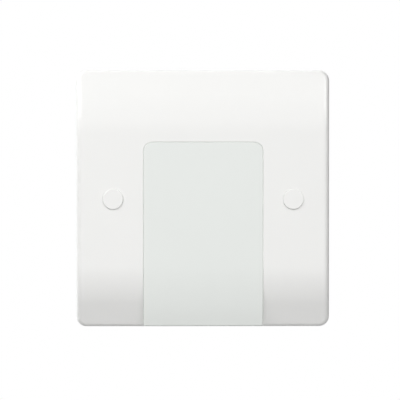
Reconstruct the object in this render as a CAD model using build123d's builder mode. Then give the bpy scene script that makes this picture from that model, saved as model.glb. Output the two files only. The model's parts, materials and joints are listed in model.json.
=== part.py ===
from build123d import *
from math import cos, radians
import os

# Single-gang cooker connection unit, in millimetres.
# The origin is the centre of the plate on the wall plane. X runs to the right as seen from the front,
# +Y runs back into the wall and +Z is up, so the face of the plate looks along -Y.

# Front plate
PLATE_WIDTH = 86.0
PLATE_HEIGHT = 87.0
PROJECTION = 14.0  # from the wall plane to the flat of the face
PLATE_WALL = 2.4
CORNER_RADIUS = 3.4
EDGE_RADIUS = 1.8
MIN_CORNER = 0.4
SIDE_DRAFT = 4.0  # degrees
FLAT_HEIGHT = 46.0  # flat band across the middle of the face
BEND_RADIUS = 28.0
SLOPE = 25.0  # degrees, of the face above and below its bends
SLOT_EDGE = 0.2  # rounding of the face along the cover's slot
RIB_THICKNESS = 1.4
RIB_HEIGHT = 2.6

# Fixing to the wall box
FIXING_CENTRES = 60.3
FIXING_THREAD = 3.5
FIXING_NECK = 3.0
FIXING_HOLE = 4.0
FIXING_LENGTH = 25.0
FIXING_HEAD = 6.6
FIXING_HEAD_HEIGHT = 2.6
PILLAR_DIAMETER = 10.0
PILLAR_SETBACK = 0.3  # the pillars end short of the wall plane
POCKET_DEPTH = 6.0  # from the face to the seat of the fixing screw

# Screw caps
CAP_DIAMETER = 6.9
CAP_PROUD = 0.5
CAP_FACE = 1.4
CAP_WALL = 0.9
CAP_EDGE = 0.5
CAP_SLOT = 1.6
CAP_CLEARANCE = 0.05
CAP_HEAD_GAP = 0.3  # between the cap's skirt and the screw head

# Cable cover
COVER_WIDTH = 40.0
COVER_TOP = 19.05  # above the middle of the plate
COVER_CORNER = 3.0
COVER_WALL = 1.8
COVER_GAP = 0.02
COVER_EDGE = 0.2
COVER_BEND_RADIUS = 71.0
COVER_SLOPE = 13.0  # degrees, shallower than the plate's, so the hood stands proud of it
FLANGE_LIP = 2.7
FLANGE_THICKNESS = 1.5
FLANGE_DROP = 21.5  # below the middle of the plate
HOOD_DROP = 31.0  # from here down the cover's sides run back to the wall
MOUTH_WIDTH = 20.0
MOUTH_DEPTH = 8.4
MOUTH_CORNER = 3.0
MOUTH_EDGE = 0.6

# Terminal base
SEAT_SETBACK = 2.0  # the terminals sit this far in front of the wall plane
BASE_FLOOR = 2.5
BASE_WIDTH = 48.0
BASE_TOP = 25.5
BASE_DROP = 30.0
BASE_CORNER = 2.0
SUPPORT_WALL = 1.6
TROUGH_GAP = 0.7
TROUGH_SIDE_GAP = 0.3
TROUGH_FLOOR = 2.0
TROUGH_WALL = 1.5
TROUGH_DROP = 2.0
BOSS_DIAMETER = 6.0
BOSS_SPACING = 34.0
EAR_WIDTH = 7.5
BASE_SCREW = 2.9
BASE_SCREW_LENGTH = 8.6
BASE_SCREW_HEAD = 5.6
BASE_SCREW_HEAD_HEIGHT = 1.8
BASE_SCREW_HOLE = 3.4

# Terminals
TERMINAL_PITCH = 15.0
CELL_WALL = 2.0
CELL_HEIGHT = 16.0
CELL_GAP = 0.3
END_LIP_HEIGHT = 2.2
END_LIP_WALL = 1.7
RIDGE_DEPTH = 0.6
RIDGE_HEIGHT = 1.6
RIDGE_LENGTH = 5.0
TERMINAL_DEPTH = 13.5
TERMINAL_LENGTH = 19.0
TERMINAL_BOTTOM = 3.5
TERMINAL_EDGE = 0.6
TUNNEL_DIAMETER = 6.5
TUNNEL_RISE = 6.0  # from the terminal's seat to the middle of its tunnel
TERMINAL_THREAD = 5.0
TERMINAL_SCREW_SPACING = 9.0
TERMINAL_SCREW_HEAD = 8.0
TERMINAL_SCREW_HEAD_HEIGHT = 2.8
TERMINAL_TRAVEL = 6.0
TERMINAL_TIP_GAP = 0.35  # between the backed-out screw and the tunnel

# Cable clamp
CLAMP_DROP = 20.0
CLAMP_CENTRES = 26.0
CLAMP_PILLAR = 8.5
CABLE_ROOM = 8.0  # under the open clamp
INSERT_DIAMETER = 6.0
INSERT_LENGTH = 6.0
INSERT_CLEARANCE = 0.02
CLAMP_THREAD = 4.0
CLAMP_ENGAGEMENT = 3.2
CLAMP_TIP_GAP = 0.8
CLAMP_HEAD = 7.5
CLAMP_HEAD_HEIGHT = 2.6
CLAMP_BAR_THICKNESS = 3.5
CLAMP_BAR_HEIGHT = 9.0
CLAMP_HUMP_WIDTH = 15.0
CLAMP_HUMP_EDGE = 1.2
CLAMP_GROOVE_WIDTH = 1.2
CLAMP_GROOVE_DEPTH = 0.8
CLAMP_GROOVE_PITCH = 2.6
CLAMP_BAR_HOLE = 4.4
CLAMP_TRAVEL = 3.7

# Shared by all the screws
THREAD_CLEARANCE = 0.05  # radial
SHUT_GAP = 0.3  # left under a head or a bar that is screwed down
SLOT_SHARE = 0.16  # slot width as a share of the head
SLOT_DEPTH_SHARE = 0.45
TIP_CHAMFER = 0.4
HEAD_EDGE = 0.4
OVERCUT = 2.0
STEEP = 0.5  # a face whose normal leans forward by more than this belongs to the front

# Places along Y, worked out from the sizes above
inner_face = PROJECTION - PLATE_WALL
flange_rear = inner_face - FLANGE_THICKNESS
pocket_radius = CAP_DIAMETER / 2 + CAP_CLEARANCE
screw_seat = PROJECTION - POCKET_DEPTH
base_front = SEAT_SETBACK + BASE_FLOOR
trough_front = PROJECTION - COVER_WALL - TROUGH_GAP
trough_floor = trough_front - TROUGH_FLOOR
clamp_pillar_top = trough_floor - CABLE_ROOM
terminal_rear = TERMINAL_DEPTH - SEAT_SETBACK
tunnel_y = TUNNEL_RISE - SEAT_SETBACK

# Places along X and Z
fixing_x = FIXING_CENTRES / 2
plate_bottom = -PLATE_HEIGHT / 2
slot_half = COVER_WIDTH / 2 + COVER_GAP
cover_inner = COVER_WIDTH / 2 - COVER_WALL
trough_half = cover_inner - TROUGH_SIDE_GAP
terminal_middle = TERMINAL_BOTTOM + TERMINAL_LENGTH / 2
terminal_width = TERMINAL_PITCH - CELL_WALL - 2 * CELL_GAP
cell_bottom = TERMINAL_BOTTOM - CELL_GAP - END_LIP_WALL
cell_length = TERMINAL_LENGTH + 2 * (CELL_GAP + END_LIP_WALL)

os.makedirs("parts", exist_ok=True)


def front_plane(forward, x=0.0, z=0.0):
    """Plane across the unit, this far in front of the wall plane, with its normal to the front."""
    return Plane((x, -forward, z), x_dir=(1, 0, 0), z_dir=(0, -1, 0))


def rear_plane(back, x=0.0, z=0.0):
    """Plane across the unit, this far behind the wall plane, with its normal to the rear."""
    return Plane((x, back, z), x_dir=(1, 0, 0), z_dir=(0, 1, 0))


def tongue(forward, width, top, bottom, corner):
    """Upright strip with rounded top corners, on a plane in front of the wall."""
    with BuildSketch(front_plane(forward)) as strip:
        with Locations((0, (top + bottom) / 2)):
            Rectangle(width, top - bottom)
        fillet(strip.vertices().group_by(Axis.Y)[-1], corner)
    return strip.sketch


def bent_block(inset, radius, slope, bent_top):
    """The plate's tapered outline cut to a bent face, drawn in on every side by inset."""
    corner = max(CORNER_RADIUS - inset, MIN_CORNER)
    reach = PLATE_HEIGHT / 2 + OVERCUT
    with BuildPart() as block:
        with BuildSketch(front_plane(0)):
            RectangleRounded(PLATE_WIDTH - 2 * inset, PLATE_HEIGHT - 2 * inset, corner)
        extrude(amount=PROJECTION + OVERCUT, taper=SIDE_DRAFT)
        with BuildSketch(Plane.YZ):
            with BuildLine():
                flat = Line((inset - PROJECTION, 0), (inset - PROJECTION, -FLAT_HEIGHT / 2))
                bend = JernArc(flat @ 1, (0, -1), radius - inset, slope)
                run = (reach + (bend @ 1).Y) / cos(radians(slope))
                incline = PolarLine(bend @ 1, run, direction=bend % 1)
                Polyline(incline @ 1, (OVERCUT, -reach), (OVERCUT, 0), flat @ 0)
            make_face()
            if bent_top:
                mirror(about=Plane.XZ)
            else:
                with Locations((inset - PROJECTION, 0)):
                    Rectangle(PROJECTION - inset + OVERCUT, reach, align=Align.MIN)
        extrude(amount=PLATE_WIDTH / 2 + OVERCUT, both=True, mode=Mode.INTERSECT)
    return block.part


def front_ring(body):
    """Edges all round a block where its front faces meet its sides."""
    front = body.faces().filter_by(lambda face: face.normal_at().Y < -STEEP)
    sides = body.faces().filter_by(lambda face: abs(face.normal_at().Y) < STEEP)
    return front.edges() & sides.edges()


def cover_block(inset):
    """The cover's strip of its own bent block, drawn in on every side by inset."""
    strip = tongue(0, COVER_WIDTH - 2 * inset, COVER_TOP - inset, plate_bottom - OVERCUT, COVER_CORNER - inset)
    with BuildPart() as block:
        add(bent_block(inset, COVER_BEND_RADIUS, COVER_SLOPE, bent_top=False))
        extrude(strip, amount=PROJECTION + OVERCUT, mode=Mode.INTERSECT)
    return block.part


def slotted_screw(seat, head, head_height, shank, length, neck=None, neck_length=0.0):
    """Cheese-head screw with its head on the plane seat and its shank behind that plane."""
    along = Axis(seat.origin, seat.z_dir)
    with BuildPart() as screw:
        with BuildSketch(seat):
            Circle(head / 2)
        extrude(amount=head_height)
        chamfer(screw.edges().sort_by(along)[-1], HEAD_EDGE)
        with BuildSketch(seat.offset(head_height)):
            Rectangle(head, SLOT_SHARE * head)
        extrude(amount=-SLOT_DEPTH_SHARE * head_height, mode=Mode.SUBTRACT)
        if neck:
            with BuildSketch(seat):
                Circle(neck / 2)
            extrude(amount=-neck_length)
        with BuildSketch(seat.offset(-neck_length)):
            Circle(shank / 2)
        extrude(amount=neck_length - length)
        chamfer(screw.edges().sort_by(along)[0], TIP_CHAMFER)
    return screw.part


# Front plate: a bent shell with pillars, bosses and ribs behind it and a slot for the cover
with BuildPart() as front_plate:
    add(bent_block(0, BEND_RADIUS, SLOPE, bent_top=True))
    fillet(front_ring(front_plate), EDGE_RADIUS)
    add(bent_block(PLATE_WALL, BEND_RADIUS, SLOPE, bent_top=True), mode=Mode.SUBTRACT)
    with BuildSketch(front_plane(PILLAR_SETBACK)):
        with GridLocations(FIXING_CENTRES, 0, 2, 1):
            Circle(PILLAR_DIAMETER / 2)
    extrude(amount=inner_face + PLATE_WALL / 2 - PILLAR_SETBACK)
    with BuildSketch(front_plane(base_front)):
        with GridLocations(FIXING_CENTRES, BOSS_SPACING, 2, 2):
            Circle(BOSS_DIAMETER / 2)
    extrude(amount=inner_face + PLATE_WALL / 2 - base_front)
    with BuildSketch(front_plane(inner_face - RIB_HEIGHT)):
        with GridLocations(FIXING_CENTRES, 0, 2, 1):
            Rectangle(RIB_THICKNESS, BOSS_SPACING)
    extrude(amount=RIB_HEIGHT + PLATE_WALL / 2)
    with BuildSketch(front_plane(base_front)):
        with Locations((fixing_x, 0)):
            Rectangle(PLATE_WIDTH / 2 - PLATE_WALL - fixing_x, RIB_THICKNESS, align=(Align.MIN, Align.CENTER))
        mirror(about=Plane.YZ)
    extrude(amount=inner_face + PLATE_WALL / 2 - base_front)
    with Locations(front_plane(PROJECTION, -fixing_x), front_plane(PROJECTION, fixing_x)):
        CounterBoreHole(FIXING_HOLE / 2, pocket_radius, POCKET_DEPTH)
    with BuildSketch(front_plane(base_front)):
        with GridLocations(FIXING_CENTRES, BOSS_SPACING, 2, 2):
            Circle(BASE_SCREW / 2 + THREAD_CLEARANCE)
    extrude(amount=BASE_SCREW_LENGTH - BASE_FLOOR + SHUT_GAP, mode=Mode.SUBTRACT)
    extrude(
        tongue(
            -OVERCUT,
            2 * slot_half,
            COVER_TOP + COVER_GAP,
            plate_bottom - OVERCUT,
            COVER_CORNER + COVER_GAP,
        ),
        amount=PROJECTION + 2 * OVERCUT,
        mode=Mode.SUBTRACT,
    )
    slot_rim = front_ring(front_plate).filter_by(lambda edge: abs(edge.center().X) < slot_half + MIN_CORNER)
    fillet(slot_rim, SLOT_EDGE)

# Cable cover: flush with the flat of the plate, held behind it by a flange, and a hood over the outlet
with BuildPart() as cable_cover:
    add(cover_block(0))
    fillet(front_ring(cable_cover), COVER_EDGE)
    extrude(
        tongue(
            flange_rear,
            COVER_WIDTH + 2 * FLANGE_LIP,
            COVER_TOP + FLANGE_LIP,
            -FLANGE_DROP,
            COVER_CORNER + FLANGE_LIP,
        ),
        amount=FLANGE_THICKNESS,
    )
    add(cover_block(COVER_WALL), mode=Mode.SUBTRACT)
    with BuildSketch(front_plane(flange_rear)):
        with Locations((0, -HOOD_DROP)):
            Rectangle(PLATE_WIDTH, PLATE_HEIGHT, align=(Align.CENTER, Align.MIN))
    extrude(amount=-flange_rear - OVERCUT, mode=Mode.SUBTRACT)
    with BuildSketch(Plane.XY.offset(plate_bottom - OVERCUT)) as mouth:
        with Locations((0, OVERCUT)):
            Rectangle(MOUTH_WIDTH, MOUTH_DEPTH + OVERCUT, align=(Align.CENTER, Align.MAX))
        fillet(mouth.vertices().group_by(Axis.Y)[0], MOUTH_CORNER)
    extrude(amount=2 * OVERCUT + COVER_WALL, mode=Mode.SUBTRACT)
    mouth_rim = cable_cover.faces().sort_by(Axis.Z)[0].edges().filter_by(
        lambda edge: abs(edge.center().X) < MOUTH_WIDTH / 2 + MIN_CORNER and edge.center().Y > -MOUTH_DEPTH - MIN_CORNER
    )
    fillet(mouth_rim, MOUTH_EDGE)


def screw_cap(x):
    """Push-in cap: a flat disc with a rounded rim, on a skirt slit into two prongs."""
    depth = POCKET_DEPTH - FIXING_HEAD_HEIGHT - CAP_HEAD_GAP
    with BuildPart() as cap:
        with BuildSketch(front_plane(PROJECTION - depth, x)):
            Circle(CAP_DIAMETER / 2)
        extrude(amount=depth + CAP_PROUD)
        fillet(cap.edges().sort_by(Axis.Y)[0], CAP_EDGE)
        with BuildSketch(front_plane(PROJECTION - depth, x)):
            Circle(CAP_DIAMETER / 2 - CAP_WALL)
            Rectangle(CAP_DIAMETER, CAP_SLOT)
        extrude(amount=depth + CAP_PROUD - CAP_FACE, mode=Mode.SUBTRACT)
    return cap.part


def fixing_screw(x):
    """M3.5 screw to the wall box, with a plain neck through the pillar."""
    return slotted_screw(
        front_plane(screw_seat, x),
        FIXING_HEAD,
        FIXING_HEAD_HEIGHT,
        FIXING_THREAD,
        FIXING_LENGTH,
        FIXING_NECK,
        screw_seat + PILLAR_SETBACK,
    )


# Terminal base: a carrier with three walled cells behind it and a cable trough below them
with BuildPart() as terminal_base:
    with BuildSketch(front_plane(SEAT_SETBACK)):
        with Locations((0, (BASE_TOP - BASE_DROP) / 2)):
            RectangleRounded(BASE_WIDTH, BASE_TOP + BASE_DROP, BASE_CORNER)
        with GridLocations(0, BOSS_SPACING, 1, 2):
            SlotOverall(FIXING_CENTRES + EAR_WIDTH, EAR_WIDTH)
    extrude(amount=BASE_FLOOR)
    # Wall behind the cover's flange
    support_half = COVER_WIDTH / 2 + FLANGE_LIP - COVER_GAP
    support_top = COVER_TOP + FLANGE_LIP - COVER_GAP
    extrude(
        tongue(base_front, 2 * support_half, support_top, -FLANGE_DROP, COVER_CORNER),
        amount=flange_rear - base_front,
    )
    extrude(
        tongue(
            base_front,
            2 * (support_half - SUPPORT_WALL),
            support_top - SUPPORT_WALL,
            -FLANGE_DROP - OVERCUT,
            COVER_CORNER - SUPPORT_WALL,
        ),
        amount=flange_rear - base_front,
        mode=Mode.SUBTRACT,
    )
    # Trough for the cable, let into the floor
    with BuildSketch(front_plane(SEAT_SETBACK)):
        with Locations((0, -BASE_DROP)):
            Rectangle(2 * trough_half, BASE_DROP - TROUGH_DROP, align=(Align.CENTER, Align.MIN))
    extrude(amount=trough_front - SEAT_SETBACK)
    with BuildSketch(front_plane(SEAT_SETBACK)):
        with Locations((0, -BASE_DROP - OVERCUT)):
            Rectangle(
                2 * (trough_half - TROUGH_WALL),
                BASE_DROP - TROUGH_DROP - TROUGH_WALL + OVERCUT,
                align=(Align.CENTER, Align.MIN),
            )
    extrude(amount=trough_floor - SEAT_SETBACK, mode=Mode.SUBTRACT)
    # Pillars for the cable clamp
    with BuildSketch(front_plane(clamp_pillar_top)):
        with Locations((0, -CLAMP_DROP)):
            with GridLocations(CLAMP_CENTRES, 0, 2, 1):
                Circle(CLAMP_PILLAR / 2)
    extrude(amount=trough_front - clamp_pillar_top)
    with Locations(
        rear_plane(-clamp_pillar_top, -CLAMP_CENTRES / 2, -CLAMP_DROP),
        rear_plane(-clamp_pillar_top, CLAMP_CENTRES / 2, -CLAMP_DROP),
    ):
        CounterBoreHole(
            CLAMP_BAR_HOLE / 2,
            INSERT_DIAMETER / 2 + INSERT_CLEARANCE,
            INSERT_LENGTH,
            CLAMP_ENGAGEMENT + CLAMP_TRAVEL + CLAMP_TIP_GAP,
        )
    # Cells for the terminals
    with BuildSketch(rear_plane(-SEAT_SETBACK)):
        with Locations((0, -cell_bottom - cell_length / 2)):
            with GridLocations(TERMINAL_PITCH, 0, 4, 1):
                Rectangle(CELL_WALL, cell_length)
    extrude(amount=CELL_HEIGHT)
    with BuildSketch(rear_plane(-SEAT_SETBACK)):
        with Locations((0, -terminal_middle)):
            with GridLocations(0, cell_length - END_LIP_WALL, 1, 2):
                Rectangle(3 * TERMINAL_PITCH, END_LIP_WALL)
    extrude(amount=END_LIP_HEIGHT)
    # Snap ridges that keep the terminals in their cells
    ridge_start = terminal_rear + CELL_GAP
    with BuildSketch(Plane.XY.offset(terminal_middle - RIDGE_LENGTH / 2)):
        for cell in (-1, 0, 1):
            for side in (-1, 1):
                wall_x = cell * TERMINAL_PITCH + side * (TERMINAL_PITCH - CELL_WALL) / 2
                with BuildLine():
                    Polyline(
                        (wall_x, ridge_start),
                        (wall_x - side * RIDGE_DEPTH, ridge_start),
                        (wall_x, ridge_start + RIDGE_HEIGHT),
                        close=True,
                    )
                make_face()
    extrude(amount=RIDGE_LENGTH)
    # Clearance holes for the screws to the plate
    with BuildSketch(front_plane(SEAT_SETBACK)):
        with GridLocations(FIXING_CENTRES, BOSS_SPACING, 2, 2):
            Circle(BASE_SCREW_HOLE / 2)
    extrude(amount=BASE_FLOOR, mode=Mode.SUBTRACT)


def base_screw(x, z):
    """Self-tapping screw through an ear of the base into a boss of the plate."""
    return slotted_screw(
        rear_plane(-SEAT_SETBACK, x, z),
        BASE_SCREW_HEAD,
        BASE_SCREW_HEAD_HEIGHT,
        BASE_SCREW,
        BASE_SCREW_LENGTH,
    )


def terminal_block(x):
    """Brass block with a cable tunnel along Z and two tapped holes into it from the rear."""
    with BuildPart() as block:
        with BuildSketch(rear_plane(-SEAT_SETBACK, x, terminal_middle)):
            Rectangle(terminal_width, TERMINAL_LENGTH)
        extrude(amount=TERMINAL_DEPTH)
        chamfer(block.edges().filter_by(Axis.Y), TERMINAL_EDGE)
        with Locations(Plane((x, tunnel_y, TERMINAL_BOTTOM + TERMINAL_LENGTH))):
            Hole(TUNNEL_DIAMETER / 2)
        with Locations(rear_plane(terminal_rear, x, terminal_middle)):
            with GridLocations(0, TERMINAL_SCREW_SPACING, 1, 2):
                Hole(TERMINAL_THREAD / 2, TERMINAL_DEPTH - TUNNEL_RISE)
    return block.part


def terminal_screw(x, z):
    """Clamping screw of a terminal, backed out until its tip is clear of the tunnel."""
    head_seat = terminal_rear + SHUT_GAP + TERMINAL_TRAVEL
    tip = tunnel_y + TUNNEL_DIAMETER / 2 + TERMINAL_TIP_GAP
    return slotted_screw(
        rear_plane(head_seat, x, z),
        TERMINAL_SCREW_HEAD,
        TERMINAL_SCREW_HEAD_HEIGHT,
        TERMINAL_THREAD - 2 * THREAD_CLEARANCE,
        head_seat - tip,
    )


# Cable clamp: a bar with a hump that presses on the cable, drawn open
clamp_open = SHUT_GAP + CLAMP_TRAVEL - clamp_pillar_top
with BuildPart() as clamp_bar:
    with BuildSketch(rear_plane(clamp_open, 0, -CLAMP_DROP)):
        SlotOverall(CLAMP_CENTRES + CLAMP_BAR_HEIGHT, CLAMP_BAR_HEIGHT)
    extrude(amount=CLAMP_BAR_THICKNESS)
    with BuildSketch(rear_plane(clamp_open, 0, -CLAMP_DROP)):
        Rectangle(CLAMP_HUMP_WIDTH, CLAMP_BAR_HEIGHT)
    extrude(amount=-(SHUT_GAP + CLAMP_TRAVEL))
    fillet(clamp_bar.faces().sort_by(Axis.Y)[0].edges(), CLAMP_HUMP_EDGE)
    with BuildSketch(rear_plane(-clamp_pillar_top, 0, -CLAMP_DROP)):
        with GridLocations(0, CLAMP_GROOVE_PITCH, 1, 2):
            Rectangle(CLAMP_HUMP_WIDTH, CLAMP_GROOVE_WIDTH)
    extrude(amount=CLAMP_GROOVE_DEPTH, mode=Mode.SUBTRACT)
    with Locations(rear_plane(clamp_open + CLAMP_BAR_THICKNESS, 0, -CLAMP_DROP)):
        with GridLocations(CLAMP_CENTRES, 0, 2, 1):
            Hole(CLAMP_BAR_HOLE / 2)


def clamp_screw(x):
    """Screw that draws the clamp bar down into its insert."""
    return slotted_screw(
        rear_plane(clamp_open + CLAMP_BAR_THICKNESS, x, -CLAMP_DROP),
        CLAMP_HEAD,
        CLAMP_HEAD_HEIGHT,
        CLAMP_THREAD,
        SHUT_GAP + CLAMP_TRAVEL + CLAMP_BAR_THICKNESS + CLAMP_ENGAGEMENT,
    )


def clamp_insert(x):
    """Threaded brass insert in a clamp pillar."""
    with BuildPart() as insert:
        with BuildSketch(rear_plane(-clamp_pillar_top, x, -CLAMP_DROP)):
            Circle(INSERT_DIAMETER / 2)
            Circle(CLAMP_THREAD / 2 + THREAD_CLEARANCE, mode=Mode.SUBTRACT)
        extrude(amount=-INSERT_LENGTH)
    return insert.part


nodes = {
    "front_plate": front_plate.part,
    "cable_cover": cable_cover.part,
    "terminal_base": terminal_base.part,
    "clamp_bar": clamp_bar.part,
}
for side, sign in (("left", -1), ("right", 1)):
    nodes[f"screw_cap_{side}"] = screw_cap(sign * fixing_x)
    nodes[f"fixing_screw_{side}"] = fixing_screw(sign * fixing_x)
    nodes[f"clamp_screw_{side}"] = clamp_screw(sign * CLAMP_CENTRES / 2)
    nodes[f"clamp_insert_{side}"] = clamp_insert(sign * CLAMP_CENTRES / 2)
    nodes[f"base_screw_top_{side}"] = base_screw(sign * fixing_x, BOSS_SPACING / 2)
    nodes[f"base_screw_bottom_{side}"] = base_screw(sign * fixing_x, -BOSS_SPACING / 2)
for number, wire in enumerate(("live", "neutral", "earth")):
    cell_x = (number - 1) * TERMINAL_PITCH
    nodes[f"{wire}_terminal"] = terminal_block(cell_x)
    nodes[f"{wire}_supply_screw"] = terminal_screw(cell_x, terminal_middle + TERMINAL_SCREW_SPACING / 2)
    nodes[f"{wire}_load_screw"] = terminal_screw(cell_x, terminal_middle - TERMINAL_SCREW_SPACING / 2)

for name, solid in nodes.items():
    solid.label = name
    export_step(solid, f"parts/{name}.step")
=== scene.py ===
"""Models a cooker connection unit round its frame: mouldings, screws, terminals, finishes and a studio."""

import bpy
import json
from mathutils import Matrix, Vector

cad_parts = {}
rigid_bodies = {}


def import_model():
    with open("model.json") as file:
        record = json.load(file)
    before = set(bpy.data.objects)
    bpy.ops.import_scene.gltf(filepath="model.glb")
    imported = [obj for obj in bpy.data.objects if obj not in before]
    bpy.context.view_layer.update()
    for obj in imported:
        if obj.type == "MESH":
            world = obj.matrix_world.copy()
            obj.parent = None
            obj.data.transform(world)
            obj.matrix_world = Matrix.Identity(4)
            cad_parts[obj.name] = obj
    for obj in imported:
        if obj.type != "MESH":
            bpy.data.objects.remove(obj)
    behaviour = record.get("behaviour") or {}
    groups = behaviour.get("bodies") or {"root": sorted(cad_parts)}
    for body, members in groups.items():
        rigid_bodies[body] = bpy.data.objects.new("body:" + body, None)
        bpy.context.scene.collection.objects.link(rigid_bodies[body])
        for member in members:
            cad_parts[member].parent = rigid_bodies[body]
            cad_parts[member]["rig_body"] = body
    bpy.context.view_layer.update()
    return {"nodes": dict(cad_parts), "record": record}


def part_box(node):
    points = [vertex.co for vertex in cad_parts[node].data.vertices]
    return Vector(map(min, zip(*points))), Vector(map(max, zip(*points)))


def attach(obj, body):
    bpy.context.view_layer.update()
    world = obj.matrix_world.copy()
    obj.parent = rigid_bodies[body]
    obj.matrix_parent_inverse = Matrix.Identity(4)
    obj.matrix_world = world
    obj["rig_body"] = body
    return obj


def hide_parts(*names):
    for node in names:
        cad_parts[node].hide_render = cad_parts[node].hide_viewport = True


bl_info = {
    "name": "Cooker connection unit",
    "version": (1, 0, 0),
    "blender": (4, 5, 0),
    "location": "3D View > Sidebar > Connection unit",
    "description": "Models the pieces of a cooker connection unit, their finishes and a studio for them",
    "category": "Add Mesh",
}

import json
from collections import namedtuple
from contextlib import contextmanager
from math import ceil, copysign, cos, pi, radians, sin, tan

import bmesh
import bpy
from bpy.props import FloatProperty, FloatVectorProperty, PointerProperty
from mathutils import Vector

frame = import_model()
PLATE_LOW, PLATE_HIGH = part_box("front_plate")
COVER_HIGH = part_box("cable_cover")[1]

MM = 0.001
TOUCH = 0.02 * MM  # places nearer than this count as one
WELD = 0.001 * MM  # vertices nearer than this are merged
OVERCUT = 2.0 * MM  # how far a cutter reaches past what it cuts
FOOT_BAND = 1.0 * MM  # the hood's bottom edge lies within this height of the plate's
STEEP = 0.5  # part of a normal that decides which way a face looks
ALONG = 0.9  # part of an edge's direction that decides which way it runs
SMOOTH_ANGLE = radians(32)
LEVEL_ANGLE = radians(2)  # edges that turn less than this stay as they are
BEND_STEPS = 24
CORNER_STEPS = 12
EDGE_STEPS = 6
RIM_STEPS = 4
SLOT_STEPS = 3
EASING_STEPS = 2
ROD_SIDES = 64
THREAD_STEPS = 32
THREAD_DEPTH = 0.61  # of the pitch
SPARE_TURNS = 3  # of thread, trimmed off at the two ends
HEAD_SLOT = 0.16  # width of a screw's slot, of the head's diameter
HEAD_FLOOR = 0.55  # height of the slot's floor, of the head's height
FADED_SHARE = 0.1  # what is left of the slot's rounding beside the hood
GRAIN_DETAIL = 3.0
PATCH_DETAIL = 2.0
NOISE_RANGE = (0.2, 0.8)  # the part of the noise's values that is spread out
SIDES = ("left", "right")
ENDS = ("supply", "load")
WIRES = {"live": "L", "neutral": "N", "earth": "E"}

# Looks of the materials: scale and depth of their patches, scale and spread of their gloss, and fixed inputs
Look = namedtuple("Look", "patch_scale deeper gloss_scale smoothest roughest sockets")
MOULDED = Look(45.0, 0.99, 160.0, 0.95, 1.05, {"IOR": 1.5})
MACHINED = Look(260.0, 0.82, 420.0, 0.75, 1.35, {"Metallic": 1.0})

# Finish of each material slot: its colour's setting, look, roughness, and the scale and depth of its grain
SURFACES = {
    "plate": ("plate", MOULDED, 0.30, 900.0, 0.004 * MM),
    "cover": ("cover", MOULDED, 0.38, 1500.0, 0.006 * MM),
    "cap": ("plate", MOULDED, 0.30, 900.0, 0.004 * MM),
    "base": ("base", MOULDED, 0.55, 2200.0, 0.02 * MM),
    "clamp": ("clamp", MOULDED, 0.48, 1800.0, 0.015 * MM),
    "brass": ("brass", MACHINED, 0.30, 1600.0, 0.006 * MM),
    "terminal_screw": ("screw", MACHINED, 0.26, 2400.0, 0.004 * MM),
    "fixing_screw": ("steel", MACHINED, 0.24, 2400.0, 0.003 * MM),
    "small_screw": ("steel", MACHINED, 0.34, 2000.0, 0.004 * MM),
}
FLOOR_SURFACE = (MOULDED, 0.8, 300.0, 0.01 * MM)

# Round soft lights: degrees to the right and up, distance and diameter in metres, and the power's setting
LIGHTS = {
    "left_softbox": (-42, 36, 0.9, 0.6, "left_power"),
    "right_softbox": (38, 36, 1.8, 1.2, "right_power"),
    "front_card": (0, 0, 0.9, 0.9, "card_power"),
    "low_card": (0, -50, 0.9, 0.9, "low_power"),
    "left_strip": (-95, 20, 0.9, 0.5, "strip_power"),
    "rear_softbox": (-155, 20, 0.9, 1.8, "rear_power"),
    "top_strip": (180, 72, 0.9, 0.5, "top_power"),
}


def length(name, description, millimetres):
    """A size property, with its default given in millimetres."""
    return FloatProperty(
        name=name, description=description, default=millimetres * MM, subtype="DISTANCE", unit="LENGTH"
    )


def angle(name, description, degrees):
    """An angle property, with its default given in degrees."""
    return FloatProperty(name=name, description=description, default=radians(degrees), subtype="ANGLE")


def colour(name, description, value):
    """A colour property."""
    return FloatVectorProperty(
        name=name, description=description, default=value, min=0.0, max=1.0, size=3, subtype="COLOR"
    )


def power(name, description, watts):
    """A light's power."""
    return FloatProperty(name=name, description=description, default=watts, min=0.0, unit="POWER")


class PlateShape(bpy.types.PropertyGroup):
    """Sizes of the front plate that its outer box doesn't give"""

    wall: length("Wall", "Thickness of the moulding", 2.4)
    draft: angle("Draft", "Lean of the sides", 4.0)
    flat_height: length("Flat height", "Height of the flat band across the face", 46.0)
    bend_radius: length("Bend radius", "Radius of the two bends of the face", 28.0)
    slope: angle("Slope", "Lean of the face above and below its bends", 25.0)
    corner_radius: length("Corner radius", "Radius of the outline's corners", 3.4)
    edge_radius: length("Edge radius", "Rounding where the face meets the sides", 1.8)
    slot_gap: length("Slot gap", "Room between the slot and the cover", 0.02)
    slot_edge: length("Slot edge", "Rounding of the face along the slot", 0.2)
    slot_fade: length("Slot fade", "Over what height that rounding fades out below the flat band", 13.0)
    pillar: length("Pillar", "Diameter of the pillars round the fixing screws", 10.0)
    pillar_setback: length("Pillar setback", "How far the pillars end short of the wall", 0.3)
    pocket_depth: length("Pocket depth", "From the face to the seat of the fixing screw", 6.0)
    pocket_room: length("Pocket room", "Room round the screw cap", 0.02)
    fixing_hole: length("Fixing hole", "Hole for the fixing screw", 4.0)
    boss: length("Boss", "Diameter of the bosses for the base screws", 6.0)
    boss_hole: length("Boss hole", "Hole in a boss", 3.0)
    boss_hole_depth: length("Boss hole depth", "Depth of the hole in a boss", 6.4)
    boss_spacing: length("Boss spacing", "Height between the bosses", 34.0)
    boss_setback: length("Boss setback", "From the wall plane to the end of a boss", 4.5)
    rib: length("Rib", "Thickness of the ribs", 1.4)
    rib_height: length("Rib height", "Height of the upright ribs", 2.6)


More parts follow.
